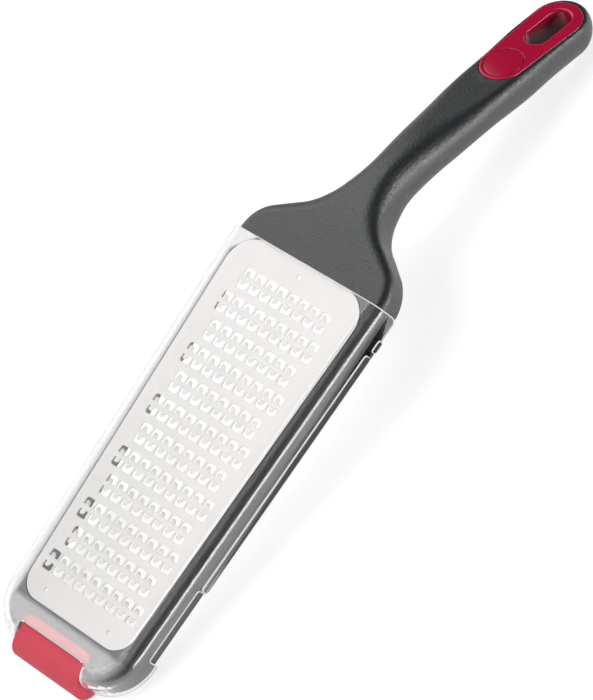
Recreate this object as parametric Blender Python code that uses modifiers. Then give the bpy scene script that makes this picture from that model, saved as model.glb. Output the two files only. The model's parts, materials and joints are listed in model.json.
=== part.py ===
"""Hand grater: a perforated blade in a moulded frame, with a handle, a rubber foot and a clear cover.

Everything is modelled in the blade's own frame, in metres: the origin is the middle of the blade's top face,
+X is to the right, +Y runs to the handle and +Z is up. At the end the whole grater is tilted, so that it
stands on its foot and on the end of its handle.
"""

import math

import bmesh
import bpy
import numpy as np
from mathutils import Matrix, Vector

MM = 0.001
GAP = 0.3 * MM  # clearance between pieces that fit into each other
ARC_STEP = math.radians(15)  # longest turn between two points of an arc
SMALL_EDGE_STEPS = 2  # flats that round a small edge
SMALL_HOLE_SIDES = 8
DISC_SIDES = 32

# Blade
blade_length = 158.3 * MM
blade_width_handle_end = 71.4 * MM
blade_width_tip = 59.4 * MM
blade_radius_handle_end = 12.5 * MM
blade_radius_tip = 9.5 * MM
blade_thickness = 0.5 * MM
locating_hole = 1.8 * MM
locating_hole_edge = 5.3 * MM
locating_hole_spread = 36.2 * MM

# Holes in pairs of rows, each hole with a tooth that rises from the strip between the two rows
hole_pitch = 6.0 * MM
pair_pitch = 11.53 * MM
hole_width = 4.9 * MM
hole_length = 3.1 * MM
hole_corner = 1.0 * MM
strip_width = 2.15 * MM
holes_side_margin = 3.0 * MM
holes_end_margin = 10.5 * MM
tooth_width = 2.3 * MM
tooth_length = 1.9 * MM
tooth_corner = 0.9 * MM
tooth_rise = 0.65 * MM
tooth_thickness = 0.3 * MM

# Frame round the blade
border_handle_end = 4.4 * MM
border_tip = 5.8 * MM
tip_length = 13.9 * MM
tip_radius = 18.0 * MM
frame_depth = 11.0 * MM
frame_top_edge = 4.0 * MM
frame_bottom_edge = 1.0 * MM
ledge_width = 2.0 * MM
ledge_thickness = 2.0 * MM

# Shoulder, neck and grip, measured along the top from the blade's end
shoulder_start = 9.3 * MM
shoulder_angle = math.radians(59.1)
shoulder_radius = 16.6 * MM
neck_fillet = 22.4 * MM
neck_angle = math.radians(11.2)
neck_place = 45.0 * MM
neck_width = 19.3 * MM
neck_radius = 56.0 * MM
grip_place = 95.0 * MM
grip_width = 24.8 * MM
grip_radius = 200.0 * MM
end_place = 154.2 * MM
end_width = 24.9 * MM
bend_start = 18.6 * MM
bend_radius = 113.5 * MM
bend_angle = math.radians(25.56)

# Cross-sections of the body: place along the top from the blade's end, depth,
# then the width and height of the elliptical top and bottom edges
body_sections = (
    (0.0 * MM, frame_depth, frame_top_edge, frame_top_edge, frame_bottom_edge, frame_bottom_edge),
    (12.0 * MM, 11.8 * MM, 4.1 * MM, 3.8 * MM, 2.5 * MM, 2.9 * MM),
    (26.0 * MM, 18.2 * MM, 6.5 * MM, 4.4 * MM, 4.8 * MM, 6.9 * MM),
    (46.0 * MM, 19.8 * MM, 8.4 * MM, 9.8 * MM, 9.0 * MM, 9.9 * MM),
    (73.5 * MM, 17.9 * MM, 9.0 * MM, 8.0 * MM, 9.3 * MM, 9.3 * MM),
    (95.0 * MM, 16.4 * MM, 5.1 * MM, 6.4 * MM, 10.4 * MM, 9.0 * MM),
    (112.0 * MM, 16.4 * MM, 3.8 * MM, 5.8 * MM, 9.7 * MM, 9.0 * MM),
    (130.0 * MM, 16.2 * MM, 1.7 * MM, 4.6 * MM, 10.1 * MM, 11.5 * MM),
)
section_spacing = 10.0 * MM
top_edge_steps = 5
bottom_edge_steps = 3

# Foot, pushed over a tongue in the frame's tip
foot_width = 36.4 * MM
foot_height = 14.0 * MM
foot_proud = 0.8 * MM
foot_inset = 9.1 * MM
foot_reach = 7.1 * MM
foot_edge = 0.8 * MM
foot_back_corner = 3.0 * MM
foot_heel_radius = 2.0 * MM
tongue_width = 26.0 * MM
tongue_length = 6.0 * MM
tongue_thickness = 2.5 * MM
tongue_depth = 4.6 * MM
tongue_root = 1.0 * MM

# Hanging insert, with the sleeve that lines the slot, and the disc beside the slot
insert_from_end = 13.3 * MM
insert_span = 28.8 * MM
insert_near_radius = 9.45 * MM
insert_far_radius = 10.65 * MM
insert_thickness = 3.0 * MM
insert_proud = 0.4 * MM
insert_edge = 0.4 * MM
slot_offset = 1.0 * MM
slot_span = 11.0 * MM
slot_radius = 5.0 * MM
slot_lip = 1.0 * MM
slot_lip_steps = 3
sleeve_wall = 1.1 * MM
sleeve_length = 14.0 * MM
disc_radius = 7.66 * MM
disc_thickness = 1.2 * MM
disc_edge = 0.3 * MM

# Clear cover
cover_gap = 0.35 * MM
cover_tip_gap = 1.2 * MM
cover_wall = 1.2 * MM
cover_headroom = 2.3 * MM
cover_edge = 5.7 * MM
cover_edge_steps = 4
cover_tip_radius = 18.8 * MM
cover_side_depth = 9.7 * MM
cover_tip_depth = 11.0 * MM
cover_end_corner = 2.5 * MM
relief_start = 19.0 * MM
relief_length = 31.0 * MM
relief_depth = 5.5 * MM
relief_corner = 1.0 * MM
foot_opening_gap = 0.4 * MM
foot_opening_inset = 4.3 * MM
foot_opening_corner = 1.0 * MM

# Raised pad along each side of the cover, for the fingers, and a small catch near its open end
finger_pad_height = 3.2 * MM
finger_pad_corner = 1.0 * MM
finger_pad_proud = 0.5 * MM
catch_from_end = 9.9 * MM
catch_gap = 2.8 * MM
catch_length = 4.5 * MM
catch_height = 1.6 * MM
catch_corner = 0.6 * MM
catch_proud = 1.0 * MM
grip_margin = 0.3 * MM
grip_edge = 0.3 * MM

# Lines and places that follow from the sizes
blade_end = blade_length / 2
frame_widening = blade_width_handle_end + 2 * border_handle_end - blade_width_tip - 2 * border_tip
side_slope = frame_widening / 2 / blade_length
tip_y = -blade_end - tip_length
foot_back = tip_y + foot_inset
foot_front = tip_y - foot_reach
foot_bottom = foot_proud - foot_height
bend_y = blade_end + bend_start

# Turns a shape drawn as (Y, Z) and raised along X into the blade's frame
SIDE_VIEW = Matrix(((0, 0, 1, 0), (1, 0, 0, 0), (0, 1, 0, 0), (0, 0, 0, 1)))


def frame_half_width(y):
    """Half the frame's width at a place along the blade."""
    return blade_width_tip / 2 + border_tip + side_slope * (y + blade_end)


def spine(place):
    """The point at a distance along the body's top line, and how far the line has turned down there."""
    turned = min(max((place - bend_y) / bend_radius, 0), bend_angle)
    straight = max(place - bend_y - bend_radius * bend_angle, 0)
    level = min(place, bend_y)
    y = level + bend_radius * math.sin(turned) + straight * math.cos(turned)
    z = -bend_radius * (1 - math.cos(turned)) - straight * math.sin(turned)
    return Vector((0, y, z)), turned


def on_body(x, place, depth):
    """The point at x, that far along the top line, and that deep under the top face."""
    point, turned = spine(place)
    return point + Vector((x, -depth * math.sin(turned), -depth * math.cos(turned)))


def section_at(place):
    """Depth and edge sizes of the body at a place, on smooth curves through the sections."""
    places = np.array([section[0] for section in body_sections]) + blade_end
    values = np.array([section[1:] for section in body_sections])
    slopes = np.gradient(values, places, axis=0)
    slopes[0] = slopes[-1] = 0
    place = min(max(place, places[0]), places[-1])
    i = min(np.searchsorted(places, place, side="right"), len(places) - 1)
    run = places[i] - places[i - 1]
    u = (place - places[i - 1]) / run
    before = (1 + 2 * u) * (1 - u) ** 2 * values[i - 1] + u * (1 - u) ** 2 * run * slopes[i - 1]
    after = u**2 * (3 - 2 * u) * values[i] + u**2 * (u - 1) * run * slopes[i]
    return before + after


def rounded_path(corners, radii, closed=True, step=ARC_STEP):
    """(point, outward normal) pairs along a line through corners, each turned into an arc of its radius.

    The line keeps its shape on its left. An arc is limited by the straight runs beside it.
    """
    corners = [Vector(corner) for corner in corners]
    path = []

    def add(point, outward):
        if not path or (point - path[-1][0]).length > 0.001 * MM:
            path.append((point, outward))

    for i, (here, radius) in enumerate(zip(corners, radii)):
        before = here - corners[i - 1]
        after = corners[(i + 1) % len(corners)] - here
        if not closed and i == 0:
            before = after
        if not closed and i == len(corners) - 1:
            after = before
        normal = Vector((before.y, -before.x)).normalized()
        turn = math.atan2(before.x * after.y - before.y * after.x, before.dot(after))
        if radius == 0:
            normal.rotate(Matrix.Rotation(turn / 2, 2))
            add(here, normal / math.cos(turn / 2))
            continue
        room_before = before.length * (0.5 if radii[i - 1] else 1)
        room_after = after.length * (0.5 if radii[(i + 1) % len(radii)] else 1)
        reach = min(radius * math.tan(abs(turn) / 2), room_before, room_after)
        bend = reach / math.tan(turn / 2)
        centre = here - before.normalized() * reach - normal * bend
        steps = max(1, math.ceil(abs(turn) / step))
        for j in range(steps + 1):
            outward = normal.copy()
            outward.rotate(Matrix.Rotation(turn * j / steps, 2))
            add(centre + outward * bend, outward)
    return path


def stadium(near, far, near_radius, far_radius):
    """Closed path round two circles on the Y axis, with straight sides between them."""
    lean = math.asin((far_radius - near_radius) / (far - near))
    path = []
    for centre, radius, start, end in (
        (far, far_radius, -lean, math.pi + lean),
        (near, near_radius, math.pi + lean, 2 * math.pi - lean),
    ):
        steps = math.ceil((end - start) / ARC_STEP)
        for angle in np.linspace(start, end, steps + 1):
            outward = Vector((math.cos(angle), math.sin(angle)))
            path.append((Vector((0, centre)) + outward * radius, outward))
    return path


def circle(x, y, radius, steps):
    """Closed round path."""
    path = []
    for j in range(steps):
        angle = 2 * math.pi * j / steps
        outward = Vector((math.cos(angle), math.sin(angle)))
        path.append((Vector((x, y)) + outward * radius, outward))
    return path


def blade_path():
    """The blade's outline: a tapered rectangle with rounded corners."""
    tip = blade_width_tip / 2
    top = blade_width_handle_end / 2
    return rounded_path(
        ((tip, -blade_end), (top, blade_end), (-top, blade_end), (-tip, -blade_end)),
        (blade_radius_tip, blade_radius_handle_end, blade_radius_handle_end, blade_radius_tip),
    )


def rounded_edge(top, radius, grow, steps=SMALL_EDGE_STEPS):
    """Levels of a stack that round its edge over, or with grow=1 flare it out, up to the top."""
    angles = np.linspace(0, math.pi / 2, steps + 1)
    return [(top - radius * (1 - math.sin(a)), grow * radius * (1 - math.cos(a))) for a in angles]


def add_stack(bm, path, levels, matrix=Matrix()):
    """Adds a solid on a closed path, through levels of (height, growth outward) from low to high."""
    rings = []
    for height, grow in levels:
        points = [point + normal * grow for point, normal in path]
        rings.append([bm.verts.new(matrix @ Vector((point.x, point.y, height))) for point in points])
    for low, high in zip(rings, rings[1:]):
        for i in range(len(low)):
            bm.faces.new((low[i - 1], low[i], high[i], high[i - 1]))
    bm.faces.new(rings[0][::-1])
    bm.faces.new(rings[-1])


def add_object(name, bm, collection, parent, sharp=math.radians(35)):
    """Makes an object of the bmesh, shaded smooth up to the sharp angle."""
    mesh = bpy.data.meshes.new(name)
    bm.to_mesh(mesh)
    bm.free()
    mesh.shade_smooth()
    mesh.set_sharp_from_angle(angle=sharp)
    obj = bpy.data.objects.new(name, mesh)
    collection.objects.link(obj)
    obj.parent = parent
    return obj


def add_cutter(name, bm, collection, parent):
    """Makes a helper that cuts or joins, and that isn't a part of the grater."""
    obj = add_object(name, bm, collection, parent)
    obj.hide_render = True
    obj.display_type = "WIRE"
    return obj


def stack_cutter(name, path, levels, collection, parent, matrix=Matrix()):
    """Makes a cutter of one stack."""
    bm = bmesh.new()
    add_stack(bm, path, levels, matrix)
    return add_cutter(name, bm, collection, parent)


def combine(obj, other, operation="DIFFERENCE"):
    """Cuts or joins the object with another."""
    modifier = obj.modifiers.new(other.name, "BOOLEAN")
    modifier.operation = operation
    modifier.object = other


def linear(colour):
    """An sRGB hex colour as linear values."""
    parts = [int(colour[i : i + 2], 16) / 255 for i in (1, 3, 5)]
    return [part / 12.92 if part <= 0.04045 else ((part + 0.055) / 1.055) ** 2.4 for part in parts]


def set_material(obj, name, colour, roughness, metallic=0.0, alpha=1.0):
    """Gives the object a Principled material."""
    material = bpy.data.materials.new(name)
    material.use_nodes = True
    shader = material.node_tree.nodes["Principled BSDF"]
    shader.inputs["Base Color"].default_value = (*linear(colour), 1)
    shader.inputs["Roughness"].default_value = roughness
    shader.inputs["Metallic"].default_value = metallic
    shader.inputs["Alpha"].default_value = alpha
    obj.data.materials.append(material)


def make_blade(parts, cutters, stand):
    """Steel sheet with its holes cut out and its teeth joined on."""
    bm = bmesh.new()
    add_stack(bm, blade_path(), [(-blade_thickness, 0), (0, 0)])
    blade = add_object("grating_plate", bm, parts, stand)

    holes = bmesh.new()
    teeth = bmesh.new()
    through = [(-2 * blade_thickness, 0), (blade_thickness, 0)]
    near = strip_width / 2
    far = near + hole_length
    half = hole_width / 2
    hole = rounded_path(
        ((half, near), (half, far), (-half, far), (-half, near)),
        (0, hole_corner, hole_corner, 0),
        step=math.pi,
    )
    half = tooth_width / 2
    tooth = rounded_path(
        ((half, -tooth_thickness), (half, tooth_length), (-half, tooth_length), (-half, -tooth_thickness)),
        (0, tooth_corner, tooth_corner, 0),
        step=math.pi,
    )
    lift = Matrix.Rotation(math.atan2(tooth_rise, tooth_length), 4, "X")
    root = Matrix.Translation((0, near, -tooth_thickness / 4))
    tooth_levels = [(-tooth_thickness, 0), (0, 0)]

    pairs = int((blade_length - 2 * holes_end_margin - strip_width - 2 * hole_length) / pair_pitch) + 1
    room = blade_width_tip / 2 - holes_side_margin - hole_width / 2
    most = 2 * int(room / hole_pitch) + 1
    for k in range(pairs):
        y = (k - (pairs - 1) / 2) * pair_pitch
        count = most if k % 2 == 0 else most - 1
        for i in range(count):
            x = (i - (count - 1) / 2) * hole_pitch
            for turned in (0, math.pi):
                place = Matrix.Translation((x, y, 0)) @ Matrix.Rotation(turned, 4, "Z")
                add_stack(holes, hole, through, place)
                add_stack(teeth, tooth, tooth_levels, place @ root @ lift)

    hole_y = blade_end - locating_hole_edge
    for x, y in ((0, hole_y), (locating_hole_spread / 2, -hole_y), (-locating_hole_spread / 2, -hole_y)):
        add_stack(holes, circle(x, y, locating_hole / 2, SMALL_HOLE_SIDES), through)
    combine(blade, add_cutter("blade_holes", holes, cutters, stand))
    combine(blade, add_cutter("blade_teeth", teeth, cutters, stand), "UNION")
    set_material(blade, "satin steel", "#D9D8D6", 0.3, metallic=1.0)
    return blade


def body_path():
    """The right half of the body's outline, from the middle of the tip to the middle of the handle's end.

    Its second coordinate runs along the body's top line.
    """
    tip = (frame_half_width(tip_y), tip_y)
    start = blade_end + shoulder_start
    shoulder = Vector((frame_half_width(start), start))
    neck = Vector((neck_width / 2, blade_end + neck_place))
    # The shoulder's slope meets the neck's line
    slope = Vector((-math.sin(shoulder_angle), math.cos(shoulder_angle)))
    neck_line = Vector((math.sin(neck_angle), -math.cos(neck_angle)))
    between = neck - shoulder
    across = slope.x * neck_line.y - slope.y * neck_line.x
    reach = (between.x * neck_line.y - between.y * neck_line.x) / across
    throat = shoulder + slope * reach
    end = blade_end + end_place
    path = rounded_path(
        (
            (0, tip_y),
            tip,
            shoulder,
            throat,
            neck,
            (grip_width / 2, blade_end + grip_place),
            (end_width / 2, end),
            (0, end),
        ),
        (0, tip_radius, shoulder_radius, neck_fillet, neck_radius, grip_radius, end_width / 2, 0),
        closed=False,
    )
    # Beyond the blade's end the cross-section changes, so long runs are divided there
    divided = path[:1]
    for (last, _), (point, normal) in zip(path, path[1:]):
        run = point - last
        steps = math.ceil(run.length / section_spacing) if last.y > blade_end else 1
        for j in range(1, steps):
            side = Vector((run.y, -run.x)).normalized()
            divided.append((last + run * j / steps, side))
        divided.append((point, normal))
    return divided


def body_row(point, normal):
    """Points of the body's skin at a place, from its middle line on top, round its edge, to that below."""
    _, top_width, top_height, bottom_width, bottom_height = section_at(point.y)
    row = []
    for angle in np.linspace(0, math.pi / 2, top_edge_steps + 1):
        inward = point - normal * top_width * (1 - math.sin(angle))
        row.append(on_body(inward.x, inward.y, top_height * (1 - math.cos(angle))))
    for angle in np.linspace(0, math.pi / 2, bottom_edge_steps + 1):
        inward = point - normal * bottom_width * (1 - math.cos(angle))
        depth = section_at(inward.y)[0]
        row.append(on_body(inward.x, inward.y, depth - bottom_height * (1 - math.sin(angle))))
    first = Vector((0, row[0].y, row[0].z))
    last = Vector((0, row[-1].y, row[-1].z))
    return [first, *row, last]


def make_body(parts, cutters, stand, grip_end):
    """Frame, shoulder and handle in one moulding."""
    bm = bmesh.new()
    rows = [[bm.verts.new(point) for point in body_row(*pair)] for pair in body_path()]
    for first, second in zip(rows, rows[1:]):
        for i in range(len(first) - 1):
            bm.faces.new((first[i], first[i + 1], second[i + 1], second[i]))
    bmesh.ops.remove_doubles(bm, verts=bm.verts, dist=0.001 * MM)
    body = add_object("handle_frame", bm, parts, stand)
    mirror = body.modifiers.new("left half", "MIRROR")
    mirror.use_clip = True
    mirror.merge_threshold = 0.00001

    seat_depth = blade_thickness + GAP
    under_ledge = seat_depth + ledge_thickness
    blade = blade_path()
    above = frame_top_edge
    below = -2 * frame_depth
    combine(body, stack_cutter("blade_seat", blade, [(-seat_depth, GAP), (above, GAP)], cutters, stand))
    window = [(below, -ledge_width), (0, -ledge_width)]
    combine(body, stack_cutter("blade_window", blade, window, cutters, stand))
    underside = [(below, 0), (-under_ledge, 0)]
    combine(body, stack_cutter("frame_underside", blade, underside, cutters, stand))

    notch = [(below, GAP), (above, GAP)]
    combine(body, stack_cutter("foot_notch", foot_plan(), notch, cutters, stand))
    tongue = box_path(tongue_width / 2, foot_back - tongue_length, foot_back + GAP + tongue_root)
    levels = [(-tongue_depth - tongue_thickness, 0), (-tongue_depth, 0)]
    combine(body, stack_cutter("foot_tongue", tongue, levels, cutters, stand), "UNION")

    pocket = [(insert_proud - insert_thickness - GAP, GAP), (above, GAP)]
    combine(body, stack_cutter("insert_pocket", insert_path(), pocket, cutters, grip_end))
    bore = [(2 * -sleeve_length, sleeve_wall + GAP), (0, sleeve_wall + GAP)]
    combine(body, stack_cutter("sleeve_bore", slot_path(), bore, cutters, grip_end))
    set_material(body, "charcoal plastic", "#3A3C3E", 0.5)
    return body


def box_path(half_width, low, high):
    """Closed rectangle, centred on the Y axis."""
    corners = ((half_width, low), (half_width, high), (-half_width, high), (-half_width, low))
    return rounded_path(corners, (0, 0, 0, 0))


def foot_plan():
    """The foot's outline from above, with rounded back corners and room to spare at its front."""
    half = foot_width / 2
    front = foot_front - foot_height
    corners = ((half, front), (half, foot_back), (-half, foot_back), (-half, front))
    return rounded_path(corners, (0, foot_back_corner, foot_back_corner, 0))


def make_foot(parts, cutters, stand):
    """Soft foot: a side profile with a round nose, cut to its plan, with a slot for the frame's tongue."""
    corners = (
        (foot_back, foot_proud),
        (foot_front, foot_proud),
        (foot_front, foot_bottom),
        (foot_back, foot_bottom),
    )
    profile = rounded_path(corners, (foot_edge, foot_height / 2, foot_height / 2, foot_heel_radius))
    right = rounded_edge(foot_width / 2, foot_edge, -1)
    left = [(-height, grow) for height, grow in reversed(right)]
    bm = bmesh.new()
    add_stack(bm, profile, [*left, *right], SIDE_VIEW)
    foot = add_object("foot", bm, parts, stand)
    plan = stack_cutter("foot_plan", foot_plan(), [(2 * foot_bottom, 0), (foot_height, 0)], cutters, stand)
    combine(foot, plan, "INTERSECT")
    slot = box_path(tongue_width / 2, foot_back - tongue_length, foot_back + tongue_length)
    levels = [(-tongue_depth - tongue_thickness - GAP, GAP), (-tongue_depth + GAP, GAP)]
    combine(foot, stack_cutter("tongue_slot", slot, levels, cutters, stand))
    set_material(foot, "red rubber", "#C4263A", 0.55)
    return foot


def insert_path():
    """The insert's outline, on the grip's end."""
    return stadium(-insert_span, 0, insert_near_radius, insert_far_radius)


def slot_path():
    """The hanging slot's outline, on the grip's end."""
    return stadium(slot_offset - slot_span, slot_offset, slot_radius, slot_radius)


def make_insert(parts, cutters, grip_end):
    """Red insert: a flange in the grip's pocket, a sleeve through the grip and a recess for the disc."""
    bm = bmesh.new()
    underneath = insert_proud - insert_thickness
    add_stack(bm, insert_path(), [(underneath, 0), *rounded_edge(insert_proud, insert_edge, -1)])
    insert = add_object("hanging_insert", bm, parts, grip_end)
    sleeve = [(-sleeve_length, sleeve_wall), (underneath / 2, sleeve_wall)]
    combine(insert, stack_cutter("sleeve", slot_path(), sleeve, cutters, grip_end), "UNION")
    above = insert_proud + insert_thickness
    lip = rounded_edge(insert_proud, slot_lip, 1, slot_lip_steps)
    slot = [(-2 * sleeve_length, 0), *lip, (above, slot_lip)]
    combine(insert, stack_cutter("slot", slot_path(), slot, cutters, grip_end))
    recess = [(insert_proud - disc_thickness - GAP, GAP), (above, GAP)]
    combine(insert, stack_cutter("disc_recess", disc_path(), recess, cutters, grip_end))
    set_material(insert, "gloss red plastic", "#9B052D", 0.15)
    return insert


def disc_path():
    """The disc's outline, round the insert's near end."""
    return circle(0, -insert_span, disc_radius, DISC_SIDES)


def make_disc(parts, grip_end):
    """Plain disc in the insert's recess."""
    bm = bmesh.new()
    top = rounded_edge(insert_proud, disc_edge, -1)
    add_stack(bm, disc_path(), [(insert_proud - disc_thickness, 0), *top])
    disc = add_object("medallion_disc", bm, parts, grip_end)
    set_material(disc, "gloss red plastic", "#9B052D", 0.15)
    return disc


def make_cover(parts, cutters, stand):
    """Clear cover: a shell round the frame, open toward the handle and below, with room for the foot."""
    front = tip_y - cover_tip_gap
    beyond = blade_end + cover_edge
    tip_half = frame_half_width(front) + cover_gap
    open_half = frame_half_width(beyond) + cover_gap
    corners = ((tip_half, front), (open_half, beyond), (-open_half, beyond), (-tip_half, front))
    inside = rounded_path(corners, (cover_tip_radius, 0, 0, cover_tip_radius))
    top = cover_headroom + cover_wall
    edge = rounded_edge(top, cover_edge, -1, cover_edge_steps)
    outer_edge = [(height, cover_wall + grow) for height, grow in edge]
    bm = bmesh.new()
    add_stack(bm, inside, [(-cover_tip_depth, cover_wall), *outer_edge])
    cover = add_object("clear_cover", bm, parts, stand)
    below = -2 * cover_tip_depth
    inner_edge = rounded_edge(cover_headroom, cover_edge - cover_wall, -1, cover_edge_steps)
    combine(cover, stack_cutter("cover_inside", inside, [(below, 0), *inner_edge], cutters, stand))

    # The end is open, and the long sides are cut higher than the tip, most of all next to the tip
    relief_low = tip_y + relief_start
    relief_high = relief_low + relief_length
    far = beyond + cover_edge
    above = 2 * top
    side_cut = rounded_path(
        (
            (far, above),
            (blade_end, above),
            (blade_end, -cover_side_depth),
            (relief_high, -cover_side_depth),
            (relief_high, -relief_depth),
            (relief_low, -relief_depth),
            (relief_low, below),
            (far, below),
        ),
        (0, 0, cover_end_corner, relief_corner, relief_corner, relief_corner, 0, 0),
    )
    wide = 2 * frame_half_width(beyond)
    levels = [(-wide, 0), (wide, 0)]
    combine(cover, stack_cutter("cover_side_cut", side_cut, levels, cutters, stand, SIDE_VIEW))

    half = foot_width / 2 + foot_opening_gap
    back = foot_back - foot_opening_inset
    far = front - 2 * cover_wall
    corners = ((half, far), (half, back), (-half, back), (-half, far))
    opening = rounded_path(corners, (0, foot_opening_corner, foot_opening_corner, 0))
    combine(cover, stack_cutter("foot_opening", opening, [(below, 0), (above, 0)], cutters, stand))

    low = -cover_side_depth + grip_margin
    pad_start = relief_high + relief_corner
    catch_end = blade_end - catch_from_end
    catch_start = catch_end - catch_length
    pad_end = catch_start - catch_gap
    outside = Matrix.Translation((frame_half_width(0) + cover_gap + cover_wall, 0, 0))
    along_side = outside @ Matrix.Rotation(-math.atan(side_slope), 4, "Z") @ SIDE_VIEW
    bm = bmesh.new()
    for start, end, height, corner, proud in (
        (pad_start, pad_end, finger_pad_height, finger_pad_corner, finger_pad_proud),
        (catch_start, catch_end, catch_height, catch_corner, catch_proud),
    ):
        corners = ((start, low + height), (start, low), (end, low), (end, low + height))
        levels = [(-cover_wall / 2, 0), *rounded_edge(proud, grip_edge, -1)]
        add_stack(bm, rounded_path(corners, (corner,) * 4), levels, along_side)
    grips = add_cutter("finger_pads_and_catches", bm, cutters, stand)
    mirror = grips.modifiers.new("left side", "MIRROR")
    mirror.use_mirror_merge = False
    combine(cover, grips, "UNION")
    set_material(cover, "clear plastic", "#E8EBEC", 0.05, alpha=0.3)
    return cover


def new_collection(name):
    """A collection in the scene."""
    collection = bpy.data.collections.new(name)
    bpy.context.scene.collection.children.link(collection)
    return collection


def new_empty(name, collection, parent=None):
    """An empty that carries other objects."""
    empty = bpy.data.objects.new(name, None)
    collection.objects.link(empty)
    empty.parent = parent
    return empty


def world_points(obj):
    """The points of the finished object, one per row."""
    bpy.context.view_layer.update()
    evaluated = obj.evaluated_get(bpy.context.evaluated_depsgraph_get())
    matrix = evaluated.matrix_world
    return np.array([matrix @ vertex.co for vertex in evaluated.data.vertices])


def set_on_table(stand, foot, body, objects):
    """Tilts the grater until it stands on its foot and its handle's end, with the origin under it."""
    feet = world_points(foot)[:, 1:]
    handle = world_points(body)[:, 1:]
    handle = handle[handle[:, 0] > bend_y]
    steepest = []
    for point in feet:
        reach = handle - point
        steepest.append(np.arctan2(reach[:, 1], reach[:, 0]).min())
    stand.rotation_euler.x = -float(max(steepest))
    points = np.vstack([world_points(obj) for obj in objects])
    low, high = points.min(axis=0), points.max(axis=0)
    middle = (low + high) / 2
    stand.location = (-middle[0], -middle[1], -low[2])


def main():
    for obj in list(bpy.data.objects):
        bpy.data.objects.remove(obj)
    parts = new_collection("Hand grater")
    cutters = new_collection("Cutters")
    stand = new_empty("stand", parts)
    grip_end = new_empty("grip_end", parts, stand)
    grip_end.location, turned = spine(blade_end + end_place - insert_from_end)
    grip_end.rotation_euler.x = -turned

    blade = make_blade(parts, cutters, stand)
    body = make_body(parts, cutters, stand, grip_end)
    foot = make_foot(parts, cutters, stand)
    insert = make_insert(parts, cutters, grip_end)
    disc = make_disc(parts, grip_end)
    cover = make_cover(parts, cutters, stand)
    set_on_table(stand, foot, body, (blade, body, foot, insert, disc, cover))


main()
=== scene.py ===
"""Looks of the hand grater: its pieces in the order of their assembly, each with its material."""

import json
import math

import bmesh
import bpy
from mathutils import Matrix, Vector


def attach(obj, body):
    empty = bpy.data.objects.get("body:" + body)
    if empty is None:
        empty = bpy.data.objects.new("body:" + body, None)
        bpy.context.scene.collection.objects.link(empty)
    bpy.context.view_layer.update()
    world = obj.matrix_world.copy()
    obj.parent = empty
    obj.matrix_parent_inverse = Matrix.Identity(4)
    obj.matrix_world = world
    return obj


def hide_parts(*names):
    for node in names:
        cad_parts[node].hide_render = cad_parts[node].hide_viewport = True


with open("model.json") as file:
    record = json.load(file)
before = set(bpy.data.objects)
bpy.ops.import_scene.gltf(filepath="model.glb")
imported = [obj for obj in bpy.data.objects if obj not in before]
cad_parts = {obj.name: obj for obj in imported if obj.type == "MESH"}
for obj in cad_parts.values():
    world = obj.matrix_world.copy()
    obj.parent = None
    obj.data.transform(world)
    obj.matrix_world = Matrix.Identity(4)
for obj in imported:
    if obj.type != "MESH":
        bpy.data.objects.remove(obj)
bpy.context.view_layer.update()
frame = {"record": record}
MM = 0.001

# Camera: long lens, from the grater's right side and above, as in the photograph.
# It is level with nothing, so it is rolled until the handle points to the upper right.
camera = bpy.data.objects.new("camera", bpy.data.cameras.new("camera"))
bpy.context.scene.collection.objects.link(camera)
camera.location = (1.0347, -0.2901, 1.2559)
camera.rotation_euler = [math.radians(angle) for angle in (33.694, 24.474, 42.993)]
camera.data.lens = 226.3
camera.data.clip_start = 0.05
bpy.context.scene.camera = camera
bpy.context.scene.view_settings.view_transform = "Standard"

# Floor: a wide pale board of matt paper. The camera, gloss and clear plastic see it glow as well,
# so that it is pure white round the grater and in its reflections.
floor_half = 3
paper_glow = 0.75


def add_node(owner, kind, inputs=None, **settings):
    """Adds a node to a material, world or lamp, makes its settings, and sets its inputs or links them.

    An input goes by its name, or by its number where several share a name. On Math and MixShader the
    numbers count from 0. On Mix, 0 is the factor, 2 and 3 are two values, and 6 and 7 are two colours.
    """
    node = owner.node_tree.nodes.new("ShaderNode" + kind)
    for name, value in settings.items():
        setattr(node, name, value)
    for name, value in (inputs or {}).items():
        if isinstance(value, bpy.types.NodeSocket):
            owner.node_tree.links.new(value, node.inputs[name])
        else:
            node.inputs[name].default_value = value
    return node


def connect(owner, node, outputs):
    """Links outputs of other nodes to the named inputs of a node."""
    for name, output in outputs.items():
        owner.node_tree.links.new(output, node.inputs[name])


def new_material(name):
    """Makes a material, and gives it together with its shader."""
    material = bpy.data.materials.new(name)
    material.use_nodes = True
    return material, material.node_tree.nodes["Principled BSDF"]


def dress(piece, *materials):
    """Gives a piece its materials in place of any others."""
    piece.data.materials.clear()
    for material in materials:
        piece.data.materials.append(material)


def linear(colour):
    """An sRGB hex colour as a linear colour."""
    parts = [int(colour[i : i + 2], 16) / 255 for i in (1, 3, 5)]
    return [part / 12.92 if part <= 0.04045 else ((part + 0.055) / 1.055) ** 2.4 for part in parts] + [1]


def face_outward(bm):
    """Turns all faces of a closed shape outward."""
    bmesh.ops.recalc_face_normals(bm, faces=bm.faces)
    if bm.calc_volume(signed=True) < 0:
        bmesh.ops.reverse_faces(bm, faces=bm.faces)


def shade(mesh, smooth=35):
    """Shades a mesh smooth up to an angle in degrees."""
    mesh.shade_smooth()
    mesh.set_sharp_from_angle(angle=math.radians(smooth))


def new_piece(name, bm, smooth=35):
    """Makes an object of a bmesh, shaded smooth up to an angle in degrees."""
    mesh = bpy.data.meshes.new(name)
    face_outward(bm)
    bm.to_mesh(mesh)
    bm.free()
    shade(mesh, smooth)
    piece = bpy.data.objects.new(name, mesh)
    bpy.context.scene.collection.objects.link(piece)
    return piece


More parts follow.
